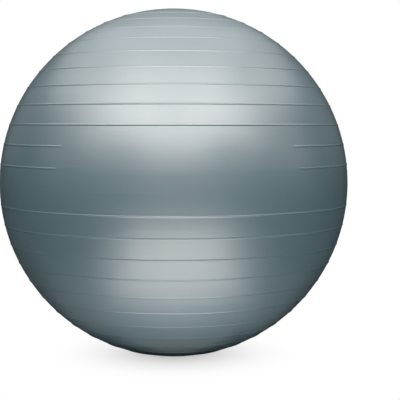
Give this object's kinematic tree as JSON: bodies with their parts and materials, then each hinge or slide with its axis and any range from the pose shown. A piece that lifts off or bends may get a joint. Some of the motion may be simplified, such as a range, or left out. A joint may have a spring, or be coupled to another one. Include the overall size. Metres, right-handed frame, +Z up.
{
  "type": "exercise ball",
  "caption": "Inflated PVC exercise ball with raised parallel ribs, a plain front window and a flush pull-out valve plug at the top; rests on a small flat patch.",
  "frame": {"origin": "middle of the flat patch that the ball rests on", "axes": "+Z up through the valve at the top pole; -Y towards the front, where two ribs stop short of the plain window"},
  "size_m": [0.6499, 0.65, 0.6481],
  "materials": {
    "skin": "satin",
    "seat": "satin",
    "plug": "satin"
  },
  "bodies": {
    "ball": {"ball_shell": "skin", "valve_seat": "seat"},
    "plug": {"valve_plug": "plug"}
  },
  "joints": [
    {"name": "plug_pull", "type": "slide", "parent": "ball", "child": "plug", "axis": [0, 0, 1], "range_m": [0, 0.03]}
  ]
}
